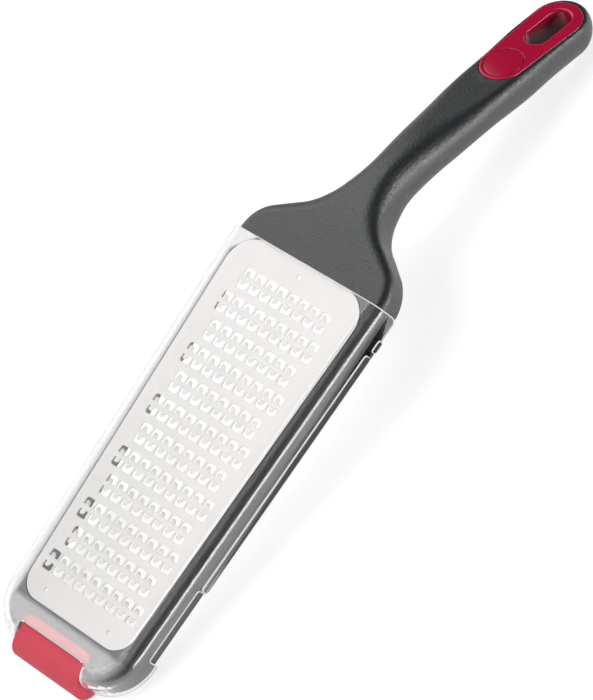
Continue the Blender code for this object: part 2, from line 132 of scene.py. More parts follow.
board = bmesh.new()
bmesh.ops.create_grid(board, x_segments=1, y_segments=1, size=floor_half)
floor = new_piece("floor", board)
paper, shader = new_material("white paper")
path = add_node(paper, "LightPath")
direct = {0: path.outputs["Is Camera Ray"], 1: path.outputs["Is Glossy Ray"]}
seen = add_node(paper, "Math", direct, operation="MAXIMUM")
through = {0: seen.outputs[0], 1: path.outputs["Is Transmission Ray"]}
seen = add_node(paper, "Math", through, operation="MAXIMUM")
glow = add_node(paper, "Math", {0: seen.outputs[0], 1: paper_glow}, operation="MULTIPLY")
shader.inputs["Base Color"].default_value = linear("#BCBCBC")
shader.inputs["Roughness"].default_value = 1
shader.inputs["Specular IOR Level"].default_value = 0
shader.inputs["Emission Color"].default_value = linear("#FFFFFF")
connect(paper, shader, {"Emission Strength": glow.outputs[0]})
dress(floor, paper)

# Soft light: a dim room that the camera sees as white, a wide diffuser over the left side that fades toward
# the grater's tip, a low wall of light beyond it, a low strip on the right, and a fill from above, which is
# kept out of the gloss.
room_light = 0.07
diffuser_fade = 0.42
world = bpy.data.worlds.new("dim studio")
bpy.context.scene.world = world
world.use_nodes = True
background = world.node_tree.nodes["Background"]
path = add_node(world, "LightPath")
level = {"Value": path.outputs["Is Camera Ray"], "To Min": room_light, "To Max": 1}
connect(world, background, {"Strength": add_node(world, "MapRange", level).outputs[0]})
background.inputs["Color"].default_value = linear("#FFFFFF")


def add_softbox(name, place, width, height, power, in_gloss=True):
    """A soft lamp that faces the grater, and that may be kept out of its gloss."""
    lamp = bpy.data.lights.new(name, "AREA")
    lamp.shape = "RECTANGLE"
    lamp.size = width
    lamp.size_y = height
    lamp.energy = power
    softbox = bpy.data.objects.new(name, lamp)
    softbox.location = place
    softbox.visible_glossy = in_gloss
    softbox.visible_camera = False
    softbox.rotation_euler = Vector(place).to_track_quat("Z", "Y").to_euler()
    bpy.context.scene.collection.objects.link(softbox)
    return lamp


diffuser = add_softbox("diffuser", place=(-0.95, 0.1, 1.15), width=1.7, height=1.6, power=13.4)
diffuser.use_nodes = True
spot = add_node(diffuser, "NewGeometry")
sideways = add_node(diffuser, "SeparateXYZ", {"Vector": spot.outputs["Parametric"]})
fade = add_node(
    diffuser,
    "MapRange",
    {"Value": sideways.outputs["X"], "From Min": 0.5, "From Max": 0.9, "To Min": 1, "To Max": diffuser_fade},
    interpolation_type="SMOOTHSTEP",
)
connect(diffuser, diffuser.node_tree.nodes["Emission"], {"Strength": fade.outputs[0]})
add_softbox("left wall", place=(-1.6, -0.8, 0.4), width=2.8, height=0.6, power=10)
add_softbox("right strip", place=(1.2, 0.3, 0.19), width=2.0, height=0.3, power=13)
add_softbox("ceiling", place=(-0.5, -0.9, 1.8), width=1.4, height=1.4, power=20, in_gloss=False)

# Where the grater's pieces are made: in the blade's own frame, its top face at height 0, tilted until the
# grater stands on its foot and on the end of its handle. The flat underside of the frame, which the record
# gives, shows the tilt and place.
frame_depth = 11 * MM
mount = frame["record"]["mounts"][0]
mount_on_frame = Vector((0, -81.4 * MM, -frame_depth))
tilt = math.atan2(mount["axis"][1], -mount["axis"][2])
lean = Matrix.Rotation(tilt, 4, "X")
stand = Matrix.Translation(Vector(mount["pos_m"]) - lean @ mount_on_frame) @ lean

# Frame, shoulder and handle: one moulding of charcoal polypropylene with a fine spark-eroded grain.
# The blade's seat, the foot's notch and the insert's pocket are moulded into it.
gap = 0.3 * MM  # clearance between pieces that fit into each other
same_point = 0.002 * MM
same_level = 0.01 * MM
shortest_edge = 0.001 * MM

blade_length = 158.3 * MM
blade_width_tip = 59.4 * MM
blade_width_handle_end = 71.4 * MM
blade_radius_tip = 9.5 * MM
blade_radius_handle_end = 12.5 * MM
blade_thickness = 0.5 * MM
ledge_width = 2 * MM
ledge_thickness = 2 * MM

border_tip = 5.8 * MM
border_handle_end = 4.4 * MM
tip_length = 13.9 * MM
tip_radius = 18 * MM
shoulder_start = 9.3 * MM
shoulder_angle = math.radians(59.1)
shoulder_radius = 16.6 * MM
neck_fillet = 22.4 * MM
neck_angle = math.radians(11.2)
neck_place = 45 * MM
neck_width = 19.3 * MM
neck_radius = 56 * MM
grip_place = 95 * MM
grip_width = 24.8 * MM
grip_radius = 200 * MM
end_place = 154.2 * MM
end_width = 24.9 * MM
bend_start = 18.6 * MM
bend_radius = 113.5 * MM
bend_angle = math.radians(25.56)
moulded_edge = 0.2 * MM

# Cross-sections in mm: place along the top from the blade's end, depth,
# then the width and height of the elliptical top and bottom edges
body_sections = (
    (0.0, 11.0, 4.0, 4.0, 1.0, 1.0),
    (12.0, 11.8, 4.1, 3.8, 2.5, 2.9),
    (26.0, 18.2, 6.5, 4.4, 4.8, 6.9),
    (46.0, 19.8, 8.4, 9.8, 9.0, 9.9),
    (73.5, 17.9, 9.0, 8.0, 9.3, 9.3),
    (95.0, 16.4, 5.1, 6.4, 10.4, 9.0),
    (112.0, 16.4, 3.8, 5.8, 9.7, 9.0),
    (130.0, 16.2, 1.7, 4.6, 10.1, 11.5),
)

foot_width = 36.4 * MM
foot_inset = 9.1 * MM
foot_back_corner = 3 * MM
past_front = 30 * MM
tongue_width = 26 * MM
tongue_length = 6 * MM
tongue_thickness = 2.5 * MM
tongue_depth = 4.6 * MM
tongue_root = 1 * MM

insert_from_end = 13.3 * MM
insert_span = 28.8 * MM
insert_near_radius = 9.45 * MM
insert_far_radius = 10.65 * MM
insert_thickness = 3 * MM
insert_proud = 0.4 * MM
slot_near = -10 * MM
slot_far = 1 * MM
slot_radius = 5 * MM
sleeve_wall = 1.1 * MM
sleeve_length = 14 * MM

blade_end = blade_length / 2
frame_widening = blade_width_handle_end + 2 * border_handle_end - blade_width_tip - 2 * border_tip
frame_slope = frame_widening / 2 / blade_length
tip_y = -blade_end - tip_length
bend_y = blade_end + bend_start
handle_end = blade_end + end_place
foot_back = tip_y + foot_inset


def half_width(y):
    """Half the frame's width at a place along the blade."""
    return blade_width_tip / 2 + border_tip + frame_slope * (y + blade_end)


def spine(place):
    """A point on the body's top line, and how far the line has turned down there."""
    turned = min(max((place - bend_y) / bend_radius, 0), bend_angle)
    straight = max(place - bend_y - bend_radius * bend_angle, 0)
    y = min(place, bend_y) + bend_radius * math.sin(turned) + straight * math.cos(turned)
    return Vector((0, y, -bend_radius * (1 - math.cos(turned)) - straight * math.sin(turned))), turned


def on_body(x, place, depth):
    """The point at x, that far along the top line, and that deep under the top face."""
    point, turned = spine(place)
    return point + Vector((x, -depth * math.sin(turned), -depth * math.cos(turned)))


def section_at(place):
    """Depth and edge sizes of the body at a place, on smooth curves through the sections."""
    places = [section[0] * MM + blade_end for section in body_sections]
    values = [[value * MM for value in section[1:]] for section in body_sections]
    last = len(places) - 1
    place = min(max(place, places[0]), places[last])
    i = next(k for k in range(1, last + 1) if place <= places[k])

    def slope(k, column):
        if k in (0, last):
            return 0
        before, after = places[k] - places[k - 1], places[k + 1] - places[k]
        low, here, high = (values[k + step][column] for step in (-1, 0, 1))
        return (before**2 * (high - here) + after**2 * (here - low)) / (before * after * (before + after))

    run = places[i] - places[i - 1]
    u = (place - places[i - 1]) / run
    result = []
    for column in range(len(values[0])):
        start, end = values[i - 1][column], values[i][column]
        result.append(
            (1 + 2 * u) * (1 - u) ** 2 * start
            + u * (1 - u) ** 2 * run * slope(i - 1, column)
            + u**2 * (3 - 2 * u) * end
            + u**2 * (u - 1) * run * slope(i, column)
        )
    return result


def rounded_line(corners, radii, spacing, arc_step):
    """(point, outward normal) pairs along an open line with rounded corners and its shape on its left."""
    corners = [Vector(corner) for corner in corners]
    stops = []
    for i, (here, radius) in enumerate(zip(corners, radii)):
        before = here - corners[i - 1] if i else corners[1] - here
        after = corners[i + 1] - here if i < len(corners) - 1 else before
        normal = Vector((before.y, -before.x)).normalized()
        turn = math.atan2(before.x * after.y - before.y * after.x, before.dot(after))
        if radius == 0:
            # The two ends lie on the middle line, where the two halves meet
            stops.append((here, normal))
            continue
        room_before = before.length * (0.5 if radii[i - 1] else 1)
        room_after = after.length * (0.5 if radii[i + 1] else 1)
        reach = min(radius * math.tan(abs(turn) / 2), room_before, room_after)
        bend = reach / math.tan(turn / 2)
        centre = here - before.normalized() * reach - normal * bend
        steps = math.ceil(abs(turn) / arc_step)
        for j in range(steps + 1):
            outward = normal.copy()
            outward.rotate(Matrix.Rotation(turn * j / steps, 2))
            stops.append((centre + outward * bend, outward))
    line = stops[:1]
    for (last, last_normal), (point, normal) in zip(stops, stops[1:]):
        run = (point - last).length
        if run < shortest_edge:
            continue
        steps = math.ceil(run / spacing)
        for j in range(1, steps + 1):
            between = last_normal.lerp(normal, j / steps).normalized()
            line.append((last.lerp(point, j / steps), between))
    return line


# The shoulder's slope meets the neck's line
shoulder = Vector((half_width(blade_end + shoulder_start), blade_end + shoulder_start))
neck = Vector((neck_width / 2, blade_end + neck_place))
slope = Vector((-math.sin(shoulder_angle), math.cos(shoulder_angle)))
neck_line = Vector((math.sin(neck_angle), -math.cos(neck_angle)))
between = neck - shoulder
crossing = slope.x * neck_line.y - slope.y * neck_line.x
reach = (between.x * neck_line.y - between.y * neck_line.x) / crossing
outline = rounded_line(
    (
        (0, tip_y),
        (half_width(tip_y), tip_y),
        shoulder,
        shoulder + slope * reach,
        neck,
        (grip_width / 2, blade_end + grip_place),
        (end_width / 2, handle_end),
        (0, handle_end),
    ),
    (0, tip_radius, shoulder_radius, neck_fillet, neck_radius, grip_radius, end_width / 2, 0),
    spacing=3 * MM,
    arc_step=math.radians(4),
)

# A grid is wrapped round the right half: one way it follows the outline, the other way it runs from the
# middle of the top, over the elliptical top and bottom edges, to the middle of the underside
top_steps = 12
bottom_steps = 10
across = top_steps + bottom_steps + 3
body_mesh = bmesh.new()
bmesh.ops.create_grid(body_mesh, x_segments=len(outline) - 1, y_segments=across, size=0.5)
for vert in body_mesh.verts:
    point, normal = outline[round((vert.co.x + 0.5) * (len(outline) - 1))]
    step = round((vert.co.y + 0.5) * across)
    _, top_width, top_height, bottom_width, bottom_height = section_at(point.y)
    if step <= top_steps + 1:
        angle = math.pi / 2 * max(step - 1, 0) / top_steps
        inward = point - normal * top_width * (1 - math.sin(angle))
        depth = top_height * (1 - math.cos(angle))
    else:
        angle = math.pi / 2 * min(step - top_steps - 2, bottom_steps) / bottom_steps
        inward = point - normal * bottom_width * (1 - math.cos(angle))
        depth = section_at(inward.y)[0] - bottom_height * (1 - math.sin(angle))
    vert.co = on_body(inward.x, inward.y, depth)
    if step in (0, across):
        vert.co.x = 0
bmesh.ops.remove_doubles(body_mesh, verts=body_mesh.verts, dist=same_point)
geometry = body_mesh.faces[:] + body_mesh.edges[:] + body_mesh.verts[:]
bmesh.ops.mirror(body_mesh, geom=geometry, axis="X", merge_dist=same_level)
bmesh.ops.remove_doubles(body_mesh, verts=body_mesh.verts, dist=same_point)
bmesh.ops.dissolve_degenerate(body_mesh, dist=shortest_edge, edges=body_mesh.edges)
body = new_piece("handle_and_frame", body_mesh, smooth=40)


def cut(piece, tool_mesh, matrix=None, operation="DIFFERENCE"):
    """Cuts a shape out of a piece, or joins it on, and shades the piece anew."""
    if matrix:
        tool_mesh.transform(matrix)
    tool = new_piece("tool", tool_mesh)
    modifier = piece.modifiers.new("cut", "BOOLEAN")
    modifier.object = tool
    modifier.operation = operation
    bpy.context.view_layer.update()
    finished = bpy.data.meshes.new_from_object(piece.evaluated_get(bpy.context.evaluated_depsgraph_get()))
    shade(finished)
    piece.modifiers.clear()
    old = piece.data
    piece.data = finished
    bpy.data.meshes.remove(old)
    old = tool.data
    bpy.data.objects.remove(tool)
    bpy.data.meshes.remove(old)


def soften(piece, width, segments, sharpest, material=-1, clamp=True):
    """Rounds every edge that is sharper than an angle in degrees, and keeps flat faces flat."""
    edges = piece.modifiers.new("moulded edges", "BEVEL")
    edges.width = width
    edges.segments = segments
    edges.limit_method = "ANGLE"
    edges.angle_limit = math.radians(sharpest)
    edges.material = material
    edges.use_clamp_overlap = clamp
    flat = piece.modifiers.new("flat faces stay flat", "WEIGHTED_NORMAL")
    flat.keep_sharp = True
    flat.weight = 100


def mirrored(near_half, near, far_half, far):
    """Two corners at one place along the Y axis and two at another, alike on both sides of it."""
    return ((near_half, near), (far_half, far), (-far_half, far), (-near_half, near))


def rounded_plate(corners, radii, low, high, segments=12):
    """A flat plate from low to high whose upright edges are rounded."""
    bm = bmesh.new()
    bm.faces.new([bm.verts.new((x, y, low)) for x, y in corners])
    for vert, radius in zip(list(bm.verts), radii):
        if radius:
            sides = [edge.other_vert(vert).co - vert.co for edge in vert.link_edges]
            offset = radius / math.tan(sides[0].angle(sides[1]) / 2)
            bmesh.ops.bevel(
                bm,
                geom=[vert],
                affect="VERTICES",
                offset=offset,
                segments=segments,
                profile=0.5,
                material=-1,
            )
    bm.faces.ensure_lookup_table()
    raised = bmesh.ops.extrude_face_region(bm, geom=bm.faces[:])
    up = [item for item in raised["geom"] if isinstance(item, bmesh.types.BMVert)]
    bmesh.ops.translate(bm, vec=(0, 0, high - low), verts=up)
    face_outward(bm)
    return bm


def blade_plate(low, high, grow):
    """A plate with the blade's outline, or one larger all round."""
    end = blade_end + grow
    corners = mirrored(blade_width_tip / 2 + grow, -end, blade_width_handle_end / 2 + grow, end)
    tip_corner = blade_radius_tip + grow
    far_corner = blade_radius_handle_end + grow
    return rounded_plate(corners, (tip_corner, far_corner, far_corner, tip_corner), low, high)


def foot_plate(low, high, grow):
    """A plate with the foot's outline from above, well past its front."""
    half = foot_width / 2 + grow
    corner = foot_back_corner + grow
    corners = mirrored(half, tip_y - past_front, half, foot_back + grow)
    return rounded_plate(corners, (0, corner, corner, 0), low, high)


def stadium_plate(near, far, near_radius, far_radius, low, high, segments=96):
    """A plate round two circles on the Y axis."""
    bm = bmesh.new()
    bmesh.ops.create_cone(bm, cap_ends=True, segments=segments, radius1=1, radius2=1, depth=1)
    for vert in bm.verts:
        centre, radius = (far, far_radius) if vert.co.y > 0 else (near, near_radius)
        vert.co = (vert.co.x * radius, centre + vert.co.y * radius, low if vert.co.z < 0 else high)
    return bm


above = 4 * MM
below = -2 * frame_depth
seat_depth = blade_thickness + gap
cut(body, blade_plate(-seat_depth, above, gap))
cut(body, blade_plate(below, 0, -ledge_width))
cut(body, blade_plate(below, -seat_depth - ledge_thickness, 0))
cut(body, foot_plate(below, above, gap))
half = tongue_width / 2
corners = mirrored(half, foot_back - tongue_length, half, foot_back + gap + tongue_root)
tongue = rounded_plate(corners, (0, 0, 0, 0), -tongue_depth - tongue_thickness, -tongue_depth)
cut(body, tongue, operation="UNION")

insert_centre, insert_turn = spine(handle_end - insert_from_end)
grip_end = Matrix.Translation(insert_centre) @ Matrix.Rotation(-insert_turn, 4, "X")
insert_under = insert_proud - insert_thickness
pocket_radii = (insert_near_radius + gap, insert_far_radius + gap)
cut(body, stadium_plate(-insert_span, 0, *pocket_radii, insert_under - gap, above), grip_end)
bore_radius = slot_radius + sleeve_wall + gap
cut(body, stadium_plate(slot_near, slot_far, bore_radius, bore_radius, -2 * sleeve_length, 0), grip_end)
body.data.transform(stand)
soften(body, moulded_edge, segments=2, sharpest=50)

# Charcoal polypropylene, coloured through: black-grey with a breath of blue, and a wide soft sheen.
# Its grain of 0.1 mm is drawn 0.8 mm coarse, because finer grain would not show. Its edges are rubbed paler.
charcoal_grain = 0.8 * MM
charcoal_clouds = 22 * MM
charcoal, shader = new_material("charcoal polypropylene, grained")
shader.inputs["IOR"].default_value = 1.6
shader.inputs["Specular IOR Level"].default_value = 0.9
place = add_node(charcoal, "TexCoord").outputs["Object"]
grain = add_node(charcoal, "TexNoise", {"Vector": place, "Scale": 1 / charcoal_grain, "Detail": 3})
cloud = add_node(charcoal, "TexNoise", {"Vector": place, "Scale": 1 / charcoal_clouds, "Detail": 2})
colours = {0: cloud.outputs["Fac"], 6: linear("#0C1113"), 7: linear("#141A1D")}
tone = add_node(charcoal, "Mix", colours, data_type="RGBA")
shape = add_node(charcoal, "NewGeometry")
wear_and_painted_highlight = add_node(
    charcoal,
    "MapRange",
    {"Value": shape.outputs["Pointiness"], "From Min": 0.53, "From Max": 0.6, "To Min": 0, "To Max": 0.6},
)
colours = {0: wear_and_painted_highlight.outputs[0], 6: tone.outputs[2], 7: linear("#3A3F41")}
tone = add_node(charcoal, "Mix", colours, data_type="RGBA")
matt = add_node(
    charcoal,
    "MapRange",
    {"Value": grain.outputs["Fac"], "From Min": 0.3, "From Max": 0.7, "To Min": 0.34, "To Max": 0.5},
)
bump = add_node(charcoal, "Bump", {"Height": grain.outputs["Fac"], "Strength": 0.8, "Distance": 0.2 * MM})
finish = {"Base Color": tone.outputs[2], "Roughness": matt.outputs[0], "Normal": bump.outputs[0]}
connect(charcoal, shader, finish)
dress(body, charcoal)
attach(body, "grater")
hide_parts("handle_frame")

# Foot: soft red rubber, moulded, with a round nose.
# It is pushed over the tongue in the frame's tip, and the grater stands on it.
foot_height = 14 * MM
foot_proud = 0.8 * MM
foot_reach = 7.1 * MM
foot_nose_radius = 6.95 * MM
foot_heel_radius = 2 * MM
foot_edge = 0.6 * MM
hair = 0.004 * MM  # keeps the cutting outline clear of the foot's own sides
over_all = 10 * MM
under_all = -25 * MM

foot_front = tip_y - foot_reach
foot_bottom = foot_proud - foot_height
profile = (
    (foot_back, foot_proud),
    (foot_front, foot_proud),
    (foot_front, foot_bottom),
    (foot_back, foot_bottom),
)
radii = (0, foot_nose_radius, foot_nose_radius, foot_heel_radius)
foot_mesh = rounded_plate(profile, radii, -foot_width / 2, foot_width / 2)
side_view = Matrix(((0, 0, 1, 0), (1, 0, 0, 0), (0, 1, 0, 0), (0, 0, 0, 1)))
foot_mesh.transform(side_view)
foot = new_piece("rubber_foot", foot_mesh, smooth=40)
cut(foot, foot_plate(under_all, over_all, hair), operation="INTERSECT")
half = tongue_width / 2 + gap
corners = mirrored(half, foot_back - tongue_length - gap, half, foot_back + tongue_length)
slot_low = -tongue_depth - tongue_thickness - gap
cut(foot, rounded_plate(corners, (0, 0, 0, 0), slot_low, -tongue_depth + gap))
foot.data.transform(stand)
soften(foot, foot_edge, segments=4, sharpest=50)

# Thermoplastic rubber, red: soft and dull, a little pinker where light skims it. Its sanded mould leaves a
# grain of 0.1 mm, drawn 0.6 mm coarse, because finer grain would not show. Where it stands, it is rubbed
# paler.
rubber_grain = 0.6 * MM
rubber_clouds = 11 * MM
rubbed_height = 3 * MM
rubber, shader = new_material("red thermoplastic rubber, moulded")
shader.inputs["IOR"].default_value = 1.52
place = add_node(rubber, "TexCoord").outputs["Object"]
grain = add_node(rubber, "TexNoise", {"Vector": place, "Scale": 1 / rubber_grain, "Detail": 3})
cloud = add_node(rubber, "TexNoise", {"Vector": place, "Scale": 1 / rubber_clouds, "Detail": 2})
colours = {0: cloud.outputs["Fac"], 6: linear("#DC4155"), 7: linear("#E44B5F")}
tone = add_node(rubber, "Mix", colours, data_type="RGBA")
height = add_node(rubber, "SeparateXYZ", {"Vector": place})
wear_and_painted_highlight = add_node(
    rubber,
    "MapRange",
    {"Value": height.outputs["Z"], "From Min": 0, "From Max": rubbed_height, "To Min": 0.5, "To Max": 0},
)
colours = {0: wear_and_painted_highlight.outputs[0], 6: tone.outputs[2], 7: linear("#E58A90")}
tone = add_node(rubber, "Mix", colours, data_type="RGBA")
matt = add_node(rubber, "MapRange", {"Value": grain.outputs["Fac"], "To Min": 0.5, "To Max": 0.65})
bump = add_node(rubber, "Bump", {"Height": grain.outputs["Fac"], "Strength": 0.2, "Distance": 0.08 * MM})
finish = {"Base Color": tone.outputs[2], "Roughness": matt.outputs[0], "Normal": bump.outputs[0]}
connect(rubber, shader, finish)
dress(foot, rubber)
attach(foot, "grater")
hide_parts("foot")

# Blade: 0.5 mm stainless sheet, satin finished, punched with rows of holes in pairs.
# A tongue of the sheet is left in each hole and bent up, so that the blade cuts both ways.
rolled_rim = 0.3 * MM
locating_radius = 0.9 * MM
locating_edge = 5.3 * MM
locating_spread = 36.2 * MM

pairs = 12
most_holes = 9
pair_pitch = 11.53 * MM
hole_pitch = 6 * MM
hole_width = 4.9 * MM
hole_length = 3.1 * MM
hole_corner = 1 * MM
strip_corner = 0.25 * MM
strip_width = 2.15 * MM
tooth_width = 2.3 * MM
tooth_length = 1.9 * MM
tooth_overlap = 0.175 * MM  # how far its root lies on the strip
tooth_rounding = 0.47  # how much shorter it is at its sides than in its middle
tooth_rise = 0.5 * MM
tooth_curve = 1.25  # 1 would be a straight slope
tooth_thickness = 0.3 * MM
blade_edge = 0.06 * MM


def round_rim(bm, height, width, segments, belongs=lambda middle: True):
    """Rounds the edges that lie at a height, or those of them whose middle belongs to the rim."""
    rim = []
    for edge in bm.edges:
        level = all(abs(vert.co.z - height) < same_level for vert in edge.verts)
        if level and belongs((edge.verts[0].co + edge.verts[1].co) / 2):
            rim.append(edge)
    bmesh.ops.bevel(bm, geom=rim, affect="EDGES", offset=width, segments=segments, profile=0.5, material=-1)


def move_into(target, bm):
    """Adds one bmesh to another and frees it."""
    mesh = bpy.data.meshes.new("moved")
    bm.to_mesh(mesh)
    bm.free()
    target.from_mesh(mesh)
    bpy.data.meshes.remove(mesh)


blade_mesh = blade_plate(-blade_thickness, 0, 0)
round_rim(blade_mesh, 0, rolled_rim, segments=4)
blade = new_piece("perforated_blade", blade_mesh, smooth=40)
holes = bmesh.new()
teeth = bmesh.new()
root = strip_width / 2 - tooth_overlap
hole_corners = mirrored(hole_width / 2, strip_width / 2, hole_width / 2, strip_width / 2 + hole_length)
hole_radii = (strip_corner, hole_corner, hole_corner, strip_corner)
for k in range(pairs):
    count = most_holes if k % 2 == 0 else most_holes - 1
    for i in range(count):
        for turned in (0, math.pi):
            middle = ((i - (count - 1) / 2) * hole_pitch, (k - (pairs - 1) / 2) * pair_pitch, 0)
            place = Matrix.Translation(middle) @ Matrix.Rotation(turned, 4, "Z")
            hole = rounded_plate(hole_corners, hole_radii, -2 * blade_thickness, blade_thickness, segments=4)
            hole.transform(place)
            move_into(holes, hole)
            tooth = bmesh.new()
            bmesh.ops.create_grid(tooth, x_segments=6, y_segments=5, size=0.5)
            for vert in tooth.verts:
                side, along = 2 * vert.co.x, vert.co.y + 0.5
                length = tooth_length * (1 - tooth_rounding * side**4)
                reach = along * (length + tooth_overlap)
                lift = tooth_rise * (reach / (tooth_length + tooth_overlap)) ** tooth_curve
                vert.co = (tooth_width / 2 * side, root + reach, lift)
            bmesh.ops.recalc_face_normals(tooth, faces=tooth.faces)
            bmesh.ops.solidify(tooth, geom=tooth.faces[:], thickness=tooth_thickness)
            tooth.transform(place)
            move_into(teeth, tooth)
cut(blade, holes)
hole_y = blade_end - locating_edge
for x, y in ((0, hole_y), (locating_spread / 2, -hole_y), (-locating_spread / 2, -hole_y)):
    locator = bmesh.new()
    bmesh.ops.create_cone(
        locator, cap_ends=True, segments=24, radius1=locating_radius, radius2=locating_radius, depth=2 * MM
    )
    cut(blade, locator, Matrix.Translation((x, y, 0)))
bmesh.ops.recalc_face_normals(teeth, faces=teeth.faces)
joined = bmesh.new()
joined.from_mesh(blade.data)
move_into(joined, teeth)
joined.to_mesh(blade.data)
joined.free()
shade(blade.data, smooth=40)
blade.data.transform(stand)
soften(blade, blade_edge, segments=2, sharpest=60)

# Stainless steel sheet, satin: it mirrors the lamps as one even, slightly warm grey-white. The brushing
# runs across the blade. Its lines, and the scuffs that food leaves along the blade, are 0.02 mm wide.
# They are drawn 0.3 and 0.4 mm wide, because finer ones would not show.
line_width = 0.3 * MM
line_length = 16 * MM
scuff_width = 0.4 * MM
scuff_length = 22 * MM
steel_clouds = 55 * MM
steel, shader = new_material("stainless steel sheet, satin")
shader.inputs["Metallic"].default_value = 1
place = add_node(steel, "TexCoord").outputs["Object"]
stretch = (1 / line_length, 1 / line_width, 1 / line_width)
brushed = add_node(steel, "Mapping", {"Vector": place, "Scale": stretch})
lines = add_node(steel, "TexNoise", {"Vector": brushed.outputs[0], "Scale": 1, "Detail": 3})
stretch = (1 / scuff_width, 1 / scuff_length, 1 / scuff_length)
rubbed = add_node(steel, "Mapping", {"Vector": place, "Scale": stretch})
scuffs = add_node(steel, "TexNoise", {"Vector": rubbed.outputs[0], "Scale": 1, "Detail": 2})
wear_and_painted_highlight = add_node(
    steel,
    "MapRange",
    {"Value": scuffs.outputs["Fac"], "From Min": 0.6, "From Max": 0.75, "To Min": 0, "To Max": 0.6},
)
cloud = add_node(steel, "TexNoise", {"Vector": place, "Scale": 1 / steel_clouds, "Detail": 2})
colours = {0: cloud.outputs["Fac"], 6: linear("#CFCECC"), 7: linear("#D8D4D3")}
tone = add_node(steel, "Mix", colours, data_type="RGBA")
colours = {0: wear_and_painted_highlight.outputs[0], 6: tone.outputs[2], 7: linear("#E4E2DF")}
tone = add_node(steel, "Mix", colours, data_type="RGBA")
satin = add_node(steel, "MapRange", {"Value": lines.outputs["Fac"], "To Min": 0.26, "To Max": 0.4})
duller = {0: wear_and_painted_highlight.outputs[0], 1: 0.1, 2: satin.outputs[0]}
satin = add_node(steel, "Math", duller, operation="MULTIPLY_ADD")
bump = add_node(steel, "Bump", {"Height": lines.outputs["Fac"], "Strength": 0.08, "Distance": 0.03 * MM})
finish = {"Base Color": tone.outputs[2], "Roughness": satin.outputs[0], "Normal": bump.outputs[0]}
connect(steel, shader, finish)
dress(blade, steel)
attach(blade, "grater")
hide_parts("grating_plate")

# Hanging insert: glossy red plastic, moulded and pressed into the handle's end. Its sleeve lines the hanging
# slot, and its near end has a round recess for the disc.
insert_rim = 0.8 * MM
slot_lip = 1.2 * MM
insert_edge = 0.25 * MM
disc_radius = 7.66 * MM
disc_thickness = 1.2 * MM

insert_radii = (insert_near_radius, insert_far_radius)
insert_mesh = stadium_plate(-insert_span, 0, *insert_radii, insert_under, insert_proud)
round_rim(insert_mesh, insert_proud, insert_rim, segments=6)
insert = new_piece("hanging_insert_gloss", insert_mesh, smooth=40)
sleeve_radius = slot_radius + sleeve_wall
sleeve = stadium_plate(slot_near, slot_far, sleeve_radius, sleeve_radius, -sleeve_length, insert_under / 2)
cut(insert, sleeve, operation="UNION")
cut(insert, stadium_plate(slot_near, slot_far, slot_radius, slot_radius, -2 * sleeve_length, above))
slot_reach = slot_radius + gap


def round_slot(middle):
    """Whether a point on the insert's top lies on the rim of the hanging slot."""
    return abs(middle.x) < slot_reach and slot_near - slot_reach < middle.y < slot_far + slot_reach


lip = bmesh.new()
lip.from_mesh(insert.data)
round_rim(lip, insert_proud, slot_lip, segments=6, belongs=round_slot)
lip.to_mesh(insert.data)
lip.free()
recess_radius = disc_radius + gap
recess_low = insert_proud - disc_thickness - gap
cut(insert, stadium_plate(-insert_span, -insert_span, recess_radius, recess_radius, recess_low, above))
insert.data.transform(stand @ grip_end)
soften(insert, insert_edge, segments=3, sharpest=50)

# Crimson ABS, polished: deep red with a narrow pink highlight painted on its rims, and slight sink marks of
# 6 mm.
# Down in the slot, shade is painted in as a darker red, and the plastic there is duller.
sink_marks = 6 * MM
gloss_clouds = 16 * MM
gloss, shader = new_material("crimson ABS, polished")
shader.inputs["IOR"].default_value = 1.54
place = add_node(gloss, "TexCoord").outputs["Object"]
ripple = add_node(gloss, "TexNoise", {"Vector": place, "Scale": 1 / sink_marks, "Detail": 1})
cloud = add_node(gloss, "TexNoise", {"Vector": place, "Scale": 1 / gloss_clouds, "Detail": 2})
colours = {0: cloud.outputs["Fac"], 6: linear("#B40438"), 7: linear("#BE0A3F")}
tone = add_node(gloss, "Mix", colours, data_type="RGBA")
shape = add_node(gloss, "NewGeometry")
# A pink highlight is painted on the rims, where their sharp curve would catch the lamps
wear_and_painted_highlight = add_node(
    gloss,
    "MapRange",
    {"Value": shape.outputs["Pointiness"], "From Min": 0.52, "From Max": 0.6, "To Min": 0, "To Max": 0.7},
)
colours = {0: wear_and_painted_highlight.outputs[0], 6: tone.outputs[2], 7: linear("#E0485C")}
tone = add_node(gloss, "Mix", colours, data_type="RGBA")
grip = stand @ grip_end
own = add_node(
    gloss,
    "Mapping",
    {"Vector": place, "Location": grip.to_translation(), "Rotation": grip.to_euler()},
    vector_type="TEXTURE",
)
down = add_node(gloss, "SeparateXYZ", {"Vector": own.outputs[0]})
# Shade is painted in down the slot as a darker red, and the roughness rises there, as the mould leaves it
# matt
slot_shade_and_matt = add_node(
    gloss,
    "MapRange",
    {"Value": down.outputs["Z"], "From Min": -1 * MM, "From Max": -9 * MM, "To Min": 0, "To Max": 1},
)
colours = {0: slot_shade_and_matt.outputs[0], 6: tone.outputs[2], 7: linear("#2C0610")}
tone = add_node(gloss, "Mix", colours, data_type="RGBA")
sheen = add_node(gloss, "MapRange", {"Value": cloud.outputs["Fac"], "To Min": 0.12, "To Max": 0.24})
dull = add_node(gloss, "Mix", {0: slot_shade_and_matt.outputs[0], 2: sheen.outputs[0], 3: 0.6}, data_type="FLOAT")
bump = add_node(gloss, "Bump", {"Height": ripple.outputs["Fac"], "Strength": 0.05, "Distance": 0.1 * MM})
finish = {"Base Color": tone.outputs[2], "Roughness": dull.outputs[0], "Normal": bump.outputs[0]}
connect(gloss, shader, finish)
dress(insert, gloss)
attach(insert, "grater")
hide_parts("hanging_insert")

